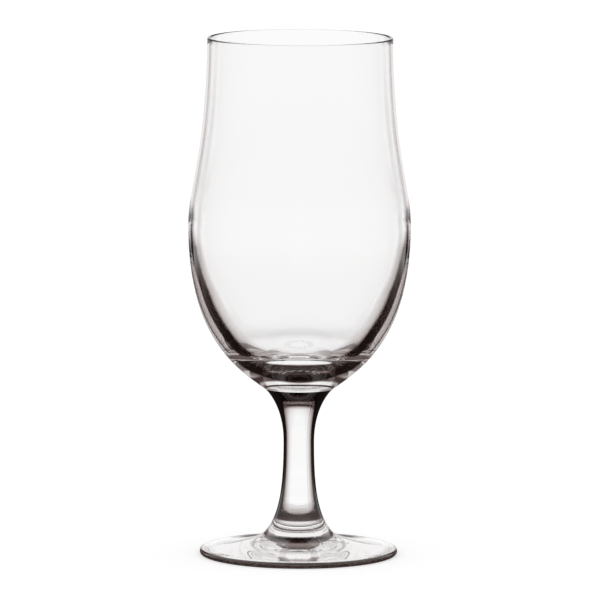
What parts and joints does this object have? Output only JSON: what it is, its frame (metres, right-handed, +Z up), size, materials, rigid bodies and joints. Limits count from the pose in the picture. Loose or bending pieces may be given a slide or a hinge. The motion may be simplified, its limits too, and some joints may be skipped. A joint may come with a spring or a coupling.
{
  "type": "stemmed beer glass",
  "caption": "Clear stemmed beer glass: tulip bowl with a rounded belly and a straight chimney rim, thick solid base, waisted solid stem and a round flat foot.",
  "frame": {"origin": "centre of the circle that the foot rests on, on the surface that the glass stands on", "axes": "+Z up along the glass's axis, from the foot to the rim; the glass is round, so +X and +Y are any two sides"},
  "size_m": [0.09, 0.09, 0.21],
  "materials": {
    "bowl_glass": "clear soda-lime glass, fire polished",
    "stem_glass": "clear soda-lime glass, fire polished over a faint mould seam",
    "foot_glass": "clear soda-lime glass, pressed, with a faint mould seam"
  },
  "bodies": {
    "root": {"bowl": "bowl_glass", "stem": "stem_glass", "foot": "foot_glass"}
  },
  "joints": []
}
